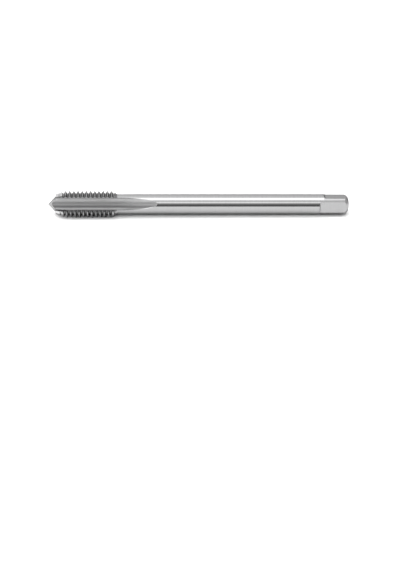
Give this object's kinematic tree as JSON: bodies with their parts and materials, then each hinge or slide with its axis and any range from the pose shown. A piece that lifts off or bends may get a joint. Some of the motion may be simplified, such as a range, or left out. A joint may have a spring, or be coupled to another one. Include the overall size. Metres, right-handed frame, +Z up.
{
  "type": "thread tap",
  "caption": "Straight-fluted machine tap with an outside front centre, tapered cutting lead, slim round shank and crowned driving square.",
  "frame": {"origin": "middle of the length, straight below the tap's axis, at the level of the lowest two land edges on which the thread end rests", "axes": "+X along the tap's axis from the cutting tip to the driving square, +Z up with one flute facing straight down, +Y away from the viewer"},
  "size_m": [0.09, 0.008, 0.0073],
  "materials": {
    "ground_steel": "bright ground high-speed steel, fine circumferential grinding marks"
  },
  "bodies": {
    "root": {"tap": "ground_steel"}
  },
  "joints": []
}
